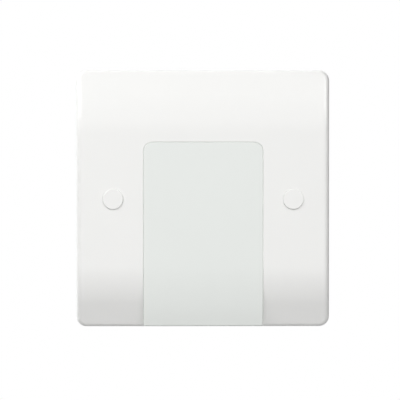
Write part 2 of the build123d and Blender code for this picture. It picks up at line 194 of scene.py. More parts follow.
class CoverShape(bpy.types.PropertyGroup):
    """Sizes of the cable cover that its outer box doesn't give"""

    width: length("Width", "Width of the cover's face", 40.0)
    corner_radius: length("Corner radius", "Radius of the two top corners", 3.0)
    wall: length("Wall", "Thickness of the moulding", 1.8)
    edge_radius: length("Edge radius", "Rounding of the face's edges", 0.2)
    foot_radius: length("Foot radius", "Rounding of the hood's bottom edge", 0.6)
    bend_radius: length("Bend radius", "Radius of the bend of the face", 71.0)
    slope: angle("Slope", "Lean of the hood below the bend", 13.0)
    lip: length("Lip", "How far the flange reaches behind the plate", 2.7)
    flange: length("Flange", "Thickness of the flange", 1.5)
    flange_drop: length("Flange drop", "How far below the middle the flange ends", 21.5)
    hood_drop: length("Hood drop", "How far below the middle the hood's sides begin", 31.0)
    mouth_width: length("Mouth width", "Width of the cable mouth", 20.0)
    mouth_depth: length("Mouth depth", "Depth of the cable mouth from the wall", 8.4)
    mouth_corner: length("Mouth corner", "Radius of the mouth's corners", 3.0)
    mouth_edge: length("Mouth edge", "Rounding of the mouth's rim", 0.6)


class CapShape(bpy.types.PropertyGroup):
    """Sizes of the screw caps that their outer boxes don't give"""

    face: length("Face", "Thickness of the disc", 1.4)
    wall: length("Wall", "Thickness of the skirt", 0.9)
    edge_radius: length("Edge radius", "Rounding of the rim", 0.3)
    slit: length("Slit", "Width of the slit that parts the skirt's prongs", 1.6)


class ScrewShapes(bpy.types.PropertyGroup):
    """Sizes of the screws that their outer boxes don't give"""

    fixing_head: length("Fixing head", "Height of a fixing screw's head", 2.6)
    fixing_thread: length("Fixing thread", "Diameter of a fixing screw's thread", 3.5)
    fixing_pitch: length("Fixing pitch", "Pitch of a fixing screw", 0.6)
    fixing_neck: length("Fixing neck", "Diameter of a fixing screw's plain neck", 3.0)
    fixing_neck_length: length("Fixing neck length", "Length of a fixing screw's plain neck", 8.3)
    terminal_head: length("Terminal head", "Height of a terminal screw's head", 2.8)
    terminal_thread: length("Terminal thread", "Diameter of a terminal screw's thread", 4.9)
    terminal_pitch: length("Terminal pitch", "Pitch of a terminal screw", 0.8)
    clamp_head: length("Clamp head", "Height of a clamp screw's head", 2.6)
    clamp_thread: length("Clamp thread", "Diameter of a clamp screw's thread", 4.0)
    clamp_pitch: length("Clamp pitch", "Pitch of a clamp screw", 0.7)
    base_head: length("Base head", "Height of a base screw's head", 1.8)
    base_thread: length("Base thread", "Diameter of a base screw's thread", 2.9)
    base_pitch: length("Base pitch", "Pitch of a base screw", 1.1)
    head_edge: length("Head edge", "Rounding of a head's rim", 0.4)
    burr: length("Burr", "Easing of the sharp edges left by the tools", 0.08)
    tip: length("Tip", "Chamfer of a screw's tip", 0.4)


class TerminalShape(bpy.types.PropertyGroup):
    """Sizes of the terminals that their outer boxes don't give"""

    edge: length("Edge", "Chamfer of the upright edges", 0.6)
    tunnel: length("Tunnel", "Diameter of the cable tunnel", 6.5)
    tunnel_rise: length("Tunnel rise", "From the seat to the middle of the tunnel", 6.0)
    thread: length("Thread", "Diameter of the tapped holes", 5.0)
    spacing: length("Spacing", "Between the two tapped holes", 9.0)
    easing: length("Easing", "Rounding of the outer edges and the rims", 0.3)


class ClampShape(bpy.types.PropertyGroup):
    """Sizes of the cable clamp that its outer box doesn't give"""

    thickness: length("Thickness", "Thickness of the bar", 3.5)
    centres: length("Centres", "Between the two screws", 26.0)
    hole: length("Hole", "Hole for a clamp screw", 4.4)
    hump_width: length("Hump width", "Width of the hump", 15.0)
    hump_edge: length("Hump edge", "Rounding of the hump", 1.2)
    groove_width: length("Groove width", "Width of a groove", 1.2)
    groove_depth: length("Groove depth", "Depth of a groove", 0.8)
    groove_pitch: length("Groove pitch", "Between the two grooves", 2.6)
    easing: length("Easing", "Rounding of the rear edges", 0.35)
    insert_bore: length("Insert bore", "Bore of a threaded insert", 4.1)
    knurl: length("Knurl", "Depth of the knurl on an insert", 0.08)


class BaseShape(bpy.types.PropertyGroup):
    """Sizes of the terminal base that its outer box doesn't give"""

    setback: length("Setback", "From the wall plane to the rear of the floor", 2.0)
    floor: length("Floor", "Thickness of the floor", 2.5)
    width: length("Width", "Width of the floor", 48.0)
    corner: length("Corner", "Radius of the floor's corners", 2.0)
    ear: length("Ear", "Width of the ears", 7.5)
    ear_hole: length("Ear hole", "Hole for a base screw", 3.4)
    support: length("Support", "Wall behind the cover's flange", 1.6)
    trough_gap: length("Trough gap", "Between the trough's sides and the cover", 0.3)
    trough_wall: length("Trough wall", "Thickness of the trough's sides", 1.5)
    trough_floor: length("Trough floor", "Thickness of the trough's floor", 2.0)
    trough_drop: length("Trough drop", "How far below the middle the trough begins", 2.0)
    pillar: length("Pillar", "Diameter of the clamp pillars", 8.5)
    pillar_setback: length("Pillar setback", "From the wall plane to the end of a clamp pillar", 1.5)
    insert_pocket: length("Insert pocket", "Diameter of the pocket for an insert", 6.04)
    insert_depth: length("Insert depth", "Depth of the pocket for an insert", 6.0)
    tip_hole: length("Tip hole", "Diameter of the hole for a screw's tip", 4.4)
    tip_depth: length("Tip depth", "Depth of the hole for a screw's tip", 7.7)
    cell_wall: length("Cell wall", "Thickness of the walls between the cells", 2.0)
    cell_end: length("Cell end", "How far the cells reach past the terminals", 2.0)
    lip: length("Lip", "Thickness of the lips at the cells' ends", 1.7)
    lip_height: length("Lip height", "Height of the lips", 2.2)
    ridge_depth: length("Ridge depth", "How far a snap ridge stands out", 0.6)
    ridge_height: length("Ridge height", "Height of a snap ridge", 1.6)
    ridge_length: length("Ridge length", "Length of a snap ridge", 5.0)
    ridge_gap: length("Ridge gap", "Between a terminal and its snap ridges", 0.3)
    easing: length("Easing", "Rounding of the cells' edges", 0.25)
    letter_height: length("Letter height", "Height of the raised letters", 4.2)
    letter_raise: length("Letter raise", "How far the letters stand out", 0.8)
    letter_place: length("Letter place", "Height of the letters' middle", -0.25)


class StageSetup(bpy.types.PropertyGroup):
    """Camera, light and floor"""

    camera_distance: length("Camera distance", "From the wall plane to the camera", 800.0)
    picture_width: length("Picture width", "What the picture takes in at the wall plane", 136.05)
    camera_azimuth: angle("Camera azimuth", "How far to the right of the unit the camera stands", -0.7)
    camera_elevation: angle("Camera elevation", "How far above the unit the camera stands", 1.2)
    aim_x: length("Aim X", "Where the camera looks, across", -0.90)
    aim_z: length("Aim Z", "Where the camera looks, up", -0.59)
    floor_drop: length("Floor drop", "How far the floor lies below the unit's middle", 900.0)
    floor_size: length("Floor size", "Side of the square floor", 12000.0)
    left_power: power("Left power", "Power of the soft light at the upper left", 4.4)
    right_power: power("Right power", "Power of the soft light at the upper right", 15.5)
    card_power: power("Card power", "Power of the card round the camera", 2.35)
    low_power: power("Low power", "Power of the card below the camera", 0.64)
    strip_power: power("Strip power", "Power of the light on the left edge", 2.9)
    rear_power: power("Rear power", "Power of the large soft light behind the unit, on its left", 8.8)
    top_power: power("Top power", "Power of the light above and behind the top edge", 0.55)
    fill: FloatProperty(name="Fill", description="Light from all round", default=0.04, min=0.0)


class Finishes(bpy.types.PropertyGroup):
    """Colours of the pieces"""

    plate: colour("Plate", "White moulding of the plate and caps", (0.86, 0.86, 0.845))
    cover: colour("Cover", "Slightly greyer moulding of the cover", (0.79, 0.815, 0.79))
    base: colour("Base", "Matt moulding of the terminal base", (0.72, 0.72, 0.69))
    clamp: colour("Clamp", "Nylon of the clamp bar", (0.80, 0.80, 0.76))
    brass: colour("Brass", "Machined brass of terminals and inserts", (0.78, 0.60, 0.30))
    screw: colour("Terminal screw", "Turned brass of the terminal screws", (0.80, 0.63, 0.34))
    steel: colour("Steel", "Plated steel of the other screws", (0.68, 0.68, 0.69))
    floor: colour("Floor", "Pale paper of the floor", (0.80, 0.80, 0.80))
    floor_glow: colour("Floor glow", "What the camera sees the floor give off", (0.62, 0.62, 0.62))


class UnitSettings(bpy.types.PropertyGroup):
    """All that a user may change"""

    plate: PointerProperty(type=PlateShape)
    cover: PointerProperty(type=CoverShape)
    cap: PointerProperty(type=CapShape)
    screws: PointerProperty(type=ScrewShapes)
    terminal: PointerProperty(type=TerminalShape)
    clamp: PointerProperty(type=ClampShape)
    base: PointerProperty(type=BaseShape)
    stage: PointerProperty(type=StageSetup)
    finishes: PointerProperty(type=Finishes)


def settings():
    """The settings kept on the scene."""
    return bpy.context.scene.connection_unit


# Selecting and editing


def deselect():
    """Leaves no object selected."""
    bpy.ops.object.select_all(action="DESELECT")


def select_only(piece):
    """Makes one object the only one selected, and the active one."""
    deselect()
    piece.select_set(True)
    bpy.context.view_layer.objects.active = piece


@contextmanager
def editing(piece):
    """Edit mode on one piece."""
    select_only(piece)
    bpy.ops.object.mode_set(mode="EDIT")
    yield
    bpy.ops.object.mode_set(mode="OBJECT")


def pick(piece, kind, test):
    """In edit mode, selects just the vertices, edges or faces that pass a test."""
    bpy.ops.mesh.select_mode(type=kind)
    bpy.ops.mesh.select_all(action="DESELECT")
    mesh = bmesh.from_edit_mesh(piece.data)
    mesh.normal_update()
    for item in {"VERT": mesh.verts, "EDGE": mesh.edges, "FACE": mesh.faces}[kind]:
        if test(item):
            item.select_set(True)
    mesh.select_flush_mode()
    bmesh.update_edit_mesh(piece.data)


def pick_all():
    """In edit mode, selects the whole mesh."""
    bpy.ops.mesh.select_all(action="SELECT")


def weld():
    """In edit mode, selects the whole mesh and merges the vertices that touch."""
    pick_all()
    bpy.ops.mesh.remove_doubles(threshold=WELD)


def bevel(piece, test, width, steps):
    """In edit mode, bevels the edges that pass a test."""
    pick(piece, "EDGE", test)
    bpy.ops.mesh.bevel(offset=width, segments=steps, affect="EDGES", clamp_overlap=False)


def slice_off(place, outward):
    """In edit mode, cuts off what lies beyond a plane and closes the cut."""
    pick_all()
    bpy.ops.mesh.bisect(plane_co=place, plane_no=outward, use_fill=True, clear_outer=True)


def draw_out(reach):
    """In edit mode, draws the selected faces out along Y."""
    bpy.ops.mesh.extrude_region_move(TRANSFORM_OT_translate={"value": (0.0, reach, 0.0)})


def runs_back(edge):
    """Whether an edge runs from front to rear."""
    first, second = edge.verts
    return abs((second.co - first.co).normalized().y) > ALONG


def lies_at(edge, **levels):
    """Whether an edge lies at all the levels that are given for x, y or z."""
    return all(
        abs(getattr(vertex.co, axis) - level) < TOUCH
        for vertex in edge.verts
        for axis, level in levels.items()
    )


def lies_at_foot(edge):
    """Whether an edge lies along the foot of the hood."""
    return all(vertex.co.z < PLATE_LOW.z + FOOT_BAND for vertex in edge.verts)


def on_front_rim(edge):
    """Whether an edge lies between the face and a side."""
    leans = sorted(face.normal.y for face in edge.link_faces)
    return len(leans) == 2 and leans[0] < -STEEP and abs(leans[1]) < STEEP


def middle(edge):
    """The point halfway along an edge."""
    return (edge.verts[0].co + edge.verts[1].co) / 2


# Shaping


def settle():
    """Puts the active object's place, turn and scale into its mesh."""
    bpy.ops.object.transform_apply(location=True, rotation=True, scale=True)
    return bpy.context.object


def add_block(low, high):
    """Adds a box between two corners."""
    low, high = Vector(low), Vector(high)
    deselect()
    bpy.ops.mesh.primitive_cube_add(size=1.0, location=(low + high) / 2, scale=high - low)
    return settle()


def add_rod(radius, start, end):
    """Adds a round rod between two points."""
    start, end = Vector(start), Vector(end)
    deselect()
    bpy.ops.mesh.primitive_cylinder_add(
        vertices=ROD_SIDES,
        radius=radius,
        depth=(end - start).length,
        location=(start + end) / 2,
        rotation=(end - start).to_track_quat("Z", "Y").to_euler(),
    )
    return settle()


def move(piece, shift):
    """Moves a piece, with its place kept in its mesh."""
    select_only(piece)
    bpy.ops.transform.translate(value=shift)
    return settle()


def copy_to(piece, shift):
    """Copies a piece, with a mesh of its own, and moves the copy."""
    select_only(piece)
    bpy.ops.object.duplicate(linked=False)
    return move(bpy.context.object, shift)


def apply_modifier(piece, kind, **values):
    """Adds a modifier to a piece, sets it and applies it."""
    select_only(piece)
    modifier = piece.modifiers.new(kind.lower(), kind)
    for name, value in values.items():
        setattr(modifier, name, value)
    bpy.ops.object.modifier_apply(modifier=modifier.name)


def combine(piece, tool, operation):
    """Adds a tool to a piece, cuts it out or keeps what they share, and takes the tool away."""
    apply_modifier(piece, "BOOLEAN", object=tool, operation=operation, solver="EXACT")
    bpy.data.objects.remove(tool)


def join(piece, tool):
    """Makes a tool part of a piece."""
    combine(piece, tool, "UNION")


def cut(piece, tool):
    """Cuts a tool out of a piece."""
    combine(piece, tool, "DIFFERENCE")


def add_post(piece, radius, x, z, start, end):
    """Adds a round post along Y to a piece."""
    join(piece, add_rod(radius, (x, start, z), (x, end, z)))


def drill(piece, radius, x, z, start, end):
    """Drills a hole along Y into a piece."""
    cut(piece, add_rod(radius, (x, start, z), (x, end, z)))


def round_edges(piece, radius, steps, share):
    """Rounds each edge to its own share of a radius, whatever the angle between its faces."""
    with editing(piece):
        mesh = bmesh.from_edit_mesh(piece.data)
        mesh.normal_update()
        layers = mesh.edges.layers.float
        weight = layers.get("bevel_weight_edge") or layers.new("bevel_weight_edge")
        for edge in mesh.edges:
            turn = edge.calc_face_angle(0.0)
            edge[weight] = share(edge) * tan(turn / 2) if turn > LEVEL_ANGLE else 0.0
        bmesh.update_edit_mesh(piece.data)
    apply_modifier(
        piece,
        "BEVEL",
        limit_method="WEIGHT",
        width=radius,
        segments=steps,
        use_clamp_overlap=False,
        loop_slide=False,
    )


def bend_back(piece, face, flat_end, radius, slope):
    """In edit mode, cuts a sloping face beyond flat_end and rounds its ridge to the bend's radius."""
    reach = radius * tan(slope / 2)
    ridge = flat_end + copysign(reach, flat_end)
    slice_off((0.0, face, ridge), (0.0, -cos(slope), copysign(sin(slope), flat_end)))
    bevel(piece, lambda edge: lies_at(edge, y=face, z=ridge), reach, BEND_STEPS)


def hollow_out(piece, core):
    """Cuts a core out of a piece, with its rear drawn out past the wall plane."""
    with editing(core):
        pick(core, "FACE", lambda face: face.normal.y > STEEP)
        draw_out(OVERCUT)
    cut(piece, core)


def rounded_plate(low, high, corner):
    """Flat plate with its four corners rounded."""
    plate = add_block(low, high)
    with editing(plate):
        bevel(plate, runs_back, corner - TOUCH, CORNER_STEPS)
    return plate


def tongue(half_width, bottom, top, front, rear, corner):
    """Upright strip with rounded top corners."""
    strip = add_block((-half_width, front, bottom), (half_width, rear, top))
    with editing(strip):
        bevel(strip, lambda edge: runs_back(edge) and lies_at(edge, z=top), corner, CORNER_STEPS)
    return strip


def slot_of(node):
    """The material slot that the record gives a node."""
    return next(part["material_slot"] for part in frame["record"]["subparts"] if part["node"] == node)


def centre_of(node):
    """The middle of a node's box."""
    low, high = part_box(node)
    return (low + high) / 2


def finish_piece(piece, name, node):
    """Smooths a piece, gives it its finish and lets it stand for its node."""
    slot = slot_of(node)
    with editing(piece):
        weld()
        bpy.ops.mesh.dissolve_degenerate(threshold=WELD)
        bpy.ops.mesh.delete_loose()
    select_only(piece)
    bpy.ops.object.shade_smooth_by_angle(angle=SMOOTH_ANGLE)
    apply_modifier(piece, "WEIGHTED_NORMAL", keep_sharp=True)
    piece.name = name
    piece.data.name = name
    piece.data.materials.clear()
    piece.data.materials.append(bpy.data.materials[f"{slot}_finish"])
    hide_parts(node)
    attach(piece, frame["nodes"][node]["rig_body"])


def place_copies(pattern, suffix, places):
    """Puts a finished copy of a pattern at the place of each node, and takes the pattern away."""
    for node, shift in places.items():
        finish_piece(copy_to(pattern, shift), f"{node}_{suffix}", node)
    bpy.data.objects.remove(pattern)


# Finishes


def set_inputs(node, values):
    """Sets the inputs of a shader node."""
    for name, value in values.items():
        node.inputs[name].default_value = value


def add_node(tree, kind, **values):
    """Adds a shader node and sets its inputs, with underscores for the spaces in their names."""
    node = tree.nodes.new(kind)
    set_inputs(node, {name.replace("_", " "): value for name, value in values.items()})
    return node


def add_noise(tree, coordinates, scale, detail):
    """Adds soft noise that keeps its place on the piece."""
    noise = add_node(tree, "ShaderNodeTexNoise", Scale=scale, Detail=detail)
    tree.links.new(coordinates.outputs["Object"], noise.inputs["Vector"])
    return noise.outputs["Fac"]


def make_finish(name, shade, look, roughness, grain_scale, grain_depth):
    """Makes a finish with patches of a deeper shade, uneven gloss and a fine raised grain."""
    finish = bpy.data.materials.new(name)
    finish.use_nodes = True
    tree = finish.node_tree
    shader = tree.nodes["Principled BSDF"]
    set_inputs(shader, look.sockets)
    coordinates = add_node(tree, "ShaderNodeTexCoord")

    patches = add_noise(tree, coordinates, look.patch_scale, PATCH_DETAIL)
    ramp = add_node(tree, "ShaderNodeValToRGB")
    deeper = [look.deeper * channel for channel in shade]
    for stop, place, tone in zip(ramp.color_ramp.elements, NOISE_RANGE, (deeper, shade)):
        stop.position = place
        stop.color = (*tone, 1.0)
    tree.links.new(patches, ramp.inputs["Fac"])
    tree.links.new(ramp.outputs["Color"], shader.inputs["Base Color"])

    gloss = add_noise(tree, coordinates, look.gloss_scale, PATCH_DETAIL)
    low, high = NOISE_RANGE
    smoothest, roughest = look.smoothest * roughness, look.roughest * roughness
    spread = add_node(
        tree, "ShaderNodeMapRange", From_Min=low, From_Max=high, To_Min=smoothest, To_Max=roughest
    )
    tree.links.new(gloss, spread.inputs["Value"])
    tree.links.new(spread.outputs["Result"], shader.inputs["Roughness"])

    grain = add_noise(tree, coordinates, grain_scale, GRAIN_DETAIL)
    bump = add_node(tree, "ShaderNodeBump", Strength=1.0, Distance=grain_depth)
    tree.links.new(grain, bump.inputs["Height"])
    tree.links.new(bump.outputs["Normal"], shader.inputs["Normal"])
    return finish


class CONNECTION_UNIT_OT_finishes(bpy.types.Operator):
    """Makes one finish for each material slot and gives them to the pieces of the frame"""

    bl_idname = "connection_unit.finishes"
    bl_label = "Finishes"

    def execute(self, context):
        tones = settings().finishes
        for slot, (tone, *surface) in SURFACES.items():
            make_finish(f"{slot}_finish", getattr(tones, tone), *surface)
        for part in frame["record"]["subparts"]:
            node = frame["nodes"][part["node"]]
            node.data.materials[0] = bpy.data.materials[f"{part['material_slot']}_finish"]
        return {"FINISHED"}


# Pieces


def plate_block(inset):
    """The plate's leaning outline with its bent face, drawn in on every side by inset."""
    plate = settings().plate
    low = PLATE_LOW + Vector((inset, inset, inset))
    high = Vector((PLATE_HIGH.x - inset, 0.0, PLATE_HIGH.z - inset))
    block = add_block(low, high)
    shrink = -low.y * tan(plate.draft)
    with editing(block):
        pick(block, "FACE", lambda face: face.normal.y < -STEEP)
        bpy.ops.transform.resize(
            value=(1 - shrink / high.x, 1.0, 1 - shrink / high.z), center_override=(0.0, low.y, 0.0)
        )
        for end in (-1, 1):
            bend_back(block, low.y, end * plate.flat_height / 2, plate.bend_radius - inset, plate.slope)
        bevel(block, runs_back, plate.corner_radius - inset, CORNER_STEPS)
    return block


class CONNECTION_UNIT_OT_front_plate(bpy.types.Operator):
    """Models the front plate: a bent shell with a slot for the cover, pillars, bosses and ribs"""

    bl_idname = "connection_unit.front_plate"
    bl_label = "Front plate"

    def execute(self, context):
        plate = settings().plate
        cover = settings().cover
        shell = plate_block(0.0)
        round_edges(shell, plate.edge_radius, EDGE_STEPS, on_front_rim)
        hollow_out(shell, plate_block(plate.wall))
        for side in SIDES:
            self.add_fixings(shell, side)
        half_slot = cover.width / 2 + plate.slot_gap
        slot = tongue(
            half_slot,
            PLATE_LOW.z - OVERCUT,
            COVER_HIGH.z - cover.lip + plate.slot_gap,
            PLATE_LOW.y - OVERCUT,
            OVERCUT,
            cover.corner_radius + plate.slot_gap,
        )
        cut(shell, slot)
        round_edges(shell, plate.slot_edge, SLOT_STEPS, lambda edge: self.slot_share(edge, half_slot))
        finish_piece(shell, "plate_moulding", "front_plate")
        return {"FINISHED"}

    def add_fixings(self, shell, side):
        """Adds the pillar, bosses and ribs of one side, and drills them for their screws."""
        plate = settings().plate
        low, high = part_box(f"screw_cap_{side}")
        x = (low.x + high.x) / 2
        face = PLATE_LOW.y
        rooted = face + plate.wall / 2
        boss_end = -plate.boss_setback
        reach = plate.boss_spacing / 2
        half_rib = plate.rib / 2
        rib_end = face + plate.wall + plate.rib_height
        low_x, high_x = sorted((x, copysign(PLATE_HIGH.x - plate.wall, x)))
        add_post(shell, plate.pillar / 2, x, 0.0, rooted, -plate.pillar_setback)
        for z in (-reach, reach):
            add_post(shell, plate.boss / 2, x, z, rooted, boss_end)
        join(shell, add_block((x - half_rib, rooted, -reach), (x + half_rib, rib_end, reach)))
        join(shell, add_block((low_x, rooted, -half_rib), (high_x, boss_end, half_rib)))
        pocket = (high.x - low.x) / 2 + plate.pocket_room
        drill(shell, pocket, x, 0.0, face - OVERCUT, face + plate.pocket_depth)
        drill(shell, plate.fixing_hole / 2, x, 0.0, face, OVERCUT)
        for z in (-reach, reach):
            drill(shell, plate.boss_hole / 2, x, z, boss_end - plate.boss_hole_depth, OVERCUT)

    def slot_share(self, edge, half_slot):
        """How much of the slot's rounding an edge gets: it fades out beside the hood."""
        plate = settings().plate
        place = middle(edge)
        if not on_front_rim(edge) or abs(place.x) > half_slot + TOUCH:
            return 0.0
        drop = -plate.flat_height / 2 - place.z
        return min(1.0, max(FADED_SHARE, 1 - drop / plate.slot_fade))


def cover_block(inset):
    """The cover's strip with its bent face, drawn in on every side by inset."""
    cover = settings().cover
    plate = settings().plate
    half = cover.width / 2 - inset
    low = Vector((-half, PLATE_LOW.y + inset, PLATE_LOW.z + inset))
    high = Vector((half, 0.0, COVER_HIGH.z - cover.lip - inset))
    block = add_block(low, high)
    with editing(block):
        pick(block, "EDGE", lambda edge: lies_at(edge, y=low.y, z=low.z))
        bpy.ops.transform.translate(value=(0.0, 0.0, -low.y * tan(plate.draft)))
        bend_back(block, low.y, -plate.flat_height / 2, cover.bend_radius - inset, cover.slope)
        corner = cover.corner_radius - inset
        bevel(block, lambda edge: runs_back(edge) and lies_at(edge, z=high.z), corner, CORNER_STEPS)
    return block


class CONNECTION_UNIT_OT_cable_cover(bpy.types.Operator):
    """Models the cable cover: a flush panel on a flange that turns into a hood with a cable mouth"""

    bl_idname = "connection_unit.cable_cover"
    bl_label = "Cable cover"

    def execute(self, context):
        cover = settings().cover
        behind_plate = PLATE_LOW.y + settings().plate.wall
        flange_rear = behind_plate + cover.flange
        panel = cover_block(0.0)
        round_edges(panel, cover.edge_radius, RIM_STEPS, self.rim_share)
        flange = tongue(
            cover.width / 2 + cover.lip,
            -cover.flange_drop,
            COVER_HIGH.z,
            behind_plate,
            flange_rear,
            cover.corner_radius + cover.lip,
        )
        join(panel, flange)
        hollow_out(panel, cover_block(cover.wall))
        behind_flange = add_block(
            (PLATE_LOW.x, flange_rear, -cover.hood_drop), (PLATE_HIGH.x, OVERCUT, PLATE_HIGH.z)
        )
        cut(panel, behind_flange)
        self.cut_mouth(panel)
        finish_piece(panel, "cover_moulding", "cable_cover")
        return {"FINISHED"}

    def rim_share(self, edge):
        """How much of the rim's rounding an edge gets: more along the foot of the hood."""
        cover = settings().cover
        return on_front_rim(edge) * (cover.foot_radius / cover.edge_radius if lies_at_foot(edge) else 1.0)

    def cut_mouth(self, panel):
        """Cuts the cable mouth into the foot of the hood and rounds its rim."""
        cover = settings().cover
        half = cover.mouth_width / 2
        front = -cover.mouth_depth
        bottom = PLATE_LOW.z
        mouth = add_block((-half, front, bottom - OVERCUT), (half, OVERCUT, bottom + cover.wall + OVERCUT))
        with editing(mouth):
            bevel(
                mouth,
                lambda edge: any(lies_at(edge, x=x, y=front) for x in (-half, half)),
                cover.mouth_corner,
                CORNER_STEPS,
            )
        cut(panel, mouth)
        round_edges(panel, cover.mouth_edge, RIM_STEPS, self.on_mouth_rim)

    def on_mouth_rim(self, edge):
        """Whether an edge lies on the outer rim of the cable mouth."""
        cover = settings().cover
        place = middle(edge)
        return (
            lies_at_foot(edge)
            and abs(place.x) < cover.mouth_width / 2 + TOUCH
            and -cover.mouth_depth - TOUCH < place.y < -TOUCH
            and any(face.normal.z < -STEEP for face in edge.link_faces)
        )


class CONNECTION_UNIT_OT_screw_caps(bpy.types.Operator):
    """Models the two push-in caps over the fixing screws"""

    bl_idname = "connection_unit.screw_caps"
    bl_label = "Screw caps"

    def execute(self, context):
        shape = settings().cap
        low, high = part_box("screw_cap_left")
        radius = (high.x - low.x) / 2
        half_slit = shape.slit / 2
        cap = add_rod(radius, (0.0, low.y, 0.0), (0.0, high.y, 0.0))
        with editing(cap):
            pick(cap, "FACE", lambda face: face.normal.y > STEEP)
            bpy.ops.mesh.inset(thickness=shape.wall)
            draw_out(shape.face - (high.y - low.y))
        slit = add_block(
            (-2 * radius, low.y + shape.face, -half_slit), (2 * radius, high.y + OVERCUT, half_slit)
        )
        cut(cap, slit)
        round_edges(cap, shape.edge_radius, EDGE_STEPS, on_front_rim)
        places = {f"screw_cap_{side}": (centre_of(f"screw_cap_{side}").x, 0.0, 0.0) for side in SIDES}
        place_copies(cap, "disc", places)
        return {"FINISHED"}


def threaded_shank(radius, pitch, tip, rear):
    """Threaded rod along Y from a chamfered tip at y = 0 to rear."""
    depth = THREAD_DEPTH * pitch
    root = radius - depth
    start = -1.5 * pitch
    deselect()
    bpy.ops.mesh.primitive_plane_add(size=pitch, location=(root + pitch / 2, start, 0.0))
    thread = settle()
    with editing(thread):
        # One side of the square is kept, at the thread's root, and its middle third stands out as the crest
        pick(thread, "VERT", lambda vertex: vertex.co.x > root + pitch / 2)
        bpy.ops.mesh.delete(type="VERT")
        pick_all()
        bpy.ops.mesh.subdivide(number_cuts=2)
        pick(thread, "VERT", lambda vertex: abs(vertex.co.y - start) < pitch / 4)
        bpy.ops.transform.translate(value=(depth, 0.0, 0.0))
    apply_modifier(
        thread,
        "SCREW",
        axis="Y",
        screw_offset=pitch,
        iterations=ceil(rear / pitch) + SPARE_TURNS,
        steps=THREAD_STEPS,
        render_steps=THREAD_STEPS,
    )
    with editing(thread):
        weld()
        slice_off((0.0, -pitch / 2, 0.0), (0.0, -1.0, 0.0))
        slice_off((0.0, rear + pitch / 2, 0.0), (0.0, 1.0, 0.0))
        pick_all()
        bpy.ops.mesh.normals_make_consistent(inside=False)
        bpy.ops.mesh.quads_convert_to_tris()
    envelope = add_rod(radius + TOUCH, (0.0, 0.0, 0.0), (0.0, rear, 0.0))
    with editing(envelope):
        bevel(envelope, lambda edge: lies_at(edge, y=0.0), tip, 1)
    combine(thread, envelope, "INTERSECT")
    return thread


def slotted_head(radius, height):
    """Cheese head along Y from y = 0 to height, with a slot across it."""
    shapes = settings().screws
    half_slot = HEAD_SLOT * radius
    head = add_rod(radius, (0.0, 0.0, 0.0), (0.0, height, 0.0))
    round_edges(head, shapes.head_edge, RIM_STEPS, lambda edge: lies_at(edge, y=height))
    cut(head, add_block((-2 * radius, HEAD_FLOOR * height, -half_slot), (2 * radius, 2 * height, half_slot)))
    apply_modifier(
        head,
        "BEVEL",
        limit_method="ANGLE",
        angle_limit=SMOOTH_ANGLE,
        width=shapes.burr,
        segments=EASING_STEPS,
    )
    return head


def add_screws(kind, nodes, faces_front):
    """Models a slotted screw with a real thread, and puts a copy of it in the place of each node."""
    shapes = settings().screws
    low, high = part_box(nodes[0])
    head_height = getattr(shapes, f"{kind}_head")
    radius = getattr(shapes, f"{kind}_thread") / 2
    pitch = getattr(shapes, f"{kind}_pitch")
    neck_length = shapes.fixing_neck_length if kind == "fixing" else 0.0
    shank = high.y - low.y - head_height
    threaded = shank - neck_length
    overlap = min(pitch, head_height / 4)
    screw = threaded_shank(radius, pitch, shapes.tip, threaded if neck_length else threaded + overlap)
    if neck_length:
        add_post(screw, shapes.fixing_neck / 2, 0.0, 0.0, threaded - overlap, shank + overlap)
    join(screw, move(slotted_head((high.x - low.x) / 2, head_height), (0.0, shank, 0.0)))
    if faces_front:
        select_only(screw)
        bpy.ops.transform.rotate(value=pi, orient_axis="Z", center_override=(0.0, 0.0, 0.0))
        settle()
    places = {}
    for node in nodes:
        low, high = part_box(node)
        tip = high.y if faces_front else low.y
        places[node] = ((low.x + high.x) / 2, tip, (low.z + high.z) / 2)
    place_copies(screw, "turned", places)


class CONNECTION_UNIT_OT_fixing_screws(bpy.types.Operator):
    """Models the two screws that hold the unit to its wall box"""

    bl_idname = "connection_unit.fixing_screws"
    bl_label = "Fixing screws"

    def execute(self, context):
        add_screws("fixing", [f"fixing_screw_{side}" for side in SIDES], faces_front=True)
        return {"FINISHED"}


class CONNECTION_UNIT_OT_terminal_screws(bpy.types.Operator):
    """Models the six clamping screws of the terminals"""

    bl_idname = "connection_unit.terminal_screws"
    bl_label = "Terminal screws"

    def execute(self, context):
        add_screws("terminal", [f"{wire}_{end}_screw" for wire in WIRES for end in ENDS], faces_front=False)
        return {"FINISHED"}


class CONNECTION_UNIT_OT_clamp_screws(bpy.types.Operator):
    """Models the two screws of the cable clamp"""

    bl_idname = "connection_unit.clamp_screws"
    bl_label = "Clamp screws"

    def execute(self, context):
        add_screws("clamp", [f"clamp_screw_{side}" for side in SIDES], faces_front=False)
        return {"FINISHED"}


class CONNECTION_UNIT_OT_base_screws(bpy.types.Operator):
    """Models the four screws that hold the terminal base to the plate"""

    bl_idname = "connection_unit.base_screws"
    bl_label = "Base screws"

    def execute(self, context):
        nodes = [f"base_screw_{end}_{side}" for end in ("top", "bottom") for side in SIDES]
        add_screws("base", nodes, faces_front=False)
        return {"FINISHED"}


